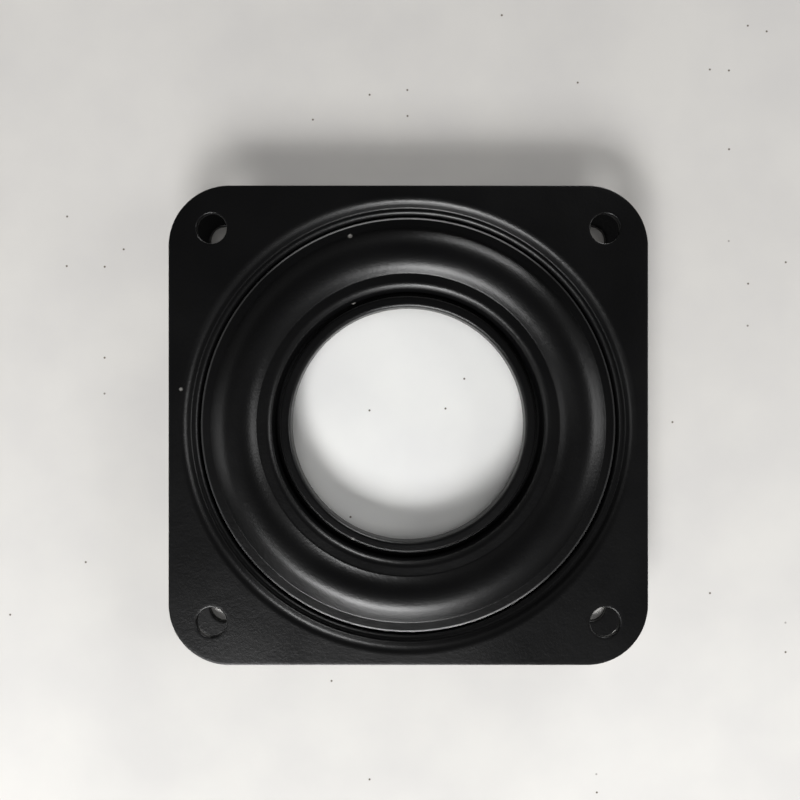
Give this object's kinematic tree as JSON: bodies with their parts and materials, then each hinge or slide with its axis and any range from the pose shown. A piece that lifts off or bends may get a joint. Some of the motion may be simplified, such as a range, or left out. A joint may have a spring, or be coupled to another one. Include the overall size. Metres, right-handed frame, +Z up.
{
  "type": "lazy susan bearing",
  "caption": "Square swivel bearing of two pressed black steel plates that turn on caged balls, with a round retaining ring, a rolled centre hole and screw holes in the corners.",
  "frame": {"origin": "on the turning axis, in the mounting face under the lower plate", "axes": "+Z up along the turning axis, X and Y along the square plate's sides"},
  "size_m": [0.071, 0.071, 0.008],
  "materials": {
    "black_paint": "satin black paint on pressed steel",
    "bearing_steel": "ground and polished steel",
    "nylon": "natural nylon, matt"
  },
  "bodies": {
    "base": {"lower_plate": "black_paint", "retaining_ring": "black_paint"},
    "turntable": {"upper_plate": "black_paint"},
    "ball_train": {"ball_cage": "nylon", "ball_01": "bearing_steel", "ball_02": "bearing_steel", "ball_03": "bearing_steel", "ball_04": "bearing_steel", "ball_05": "bearing_steel", "ball_06": "bearing_steel", "ball_07": "bearing_steel", "ball_08": "bearing_steel", "ball_09": "bearing_steel", "ball_10": "bearing_steel", "ball_11": "bearing_steel", "ball_12": "bearing_steel", "ball_13": "bearing_steel", "ball_14": "bearing_steel", "ball_15": "bearing_steel", "ball_16": "bearing_steel", "ball_17": "bearing_steel", "ball_18": "bearing_steel", "ball_19": "bearing_steel", "ball_20": "bearing_steel", "ball_21": "bearing_steel", "ball_22": "bearing_steel", "ball_23": "bearing_steel", "ball_24": "bearing_steel"}
  },
  "joints": [
    {"name": "swivel", "type": "hinge", "parent": "base", "child": "turntable", "pos_m": [0, 0, 0], "axis": [0, 0, 1], "continuous": true},
    {"name": "ball_orbit", "type": "hinge", "parent": "base", "child": "ball_train", "pos_m": [0, 0, 0], "axis": [0, 0, 1], "continuous": true}
  ],
  "couplings": [
    {"joint": "ball_orbit", "follows": "swivel", "ratio": 0.5}
  ]
}
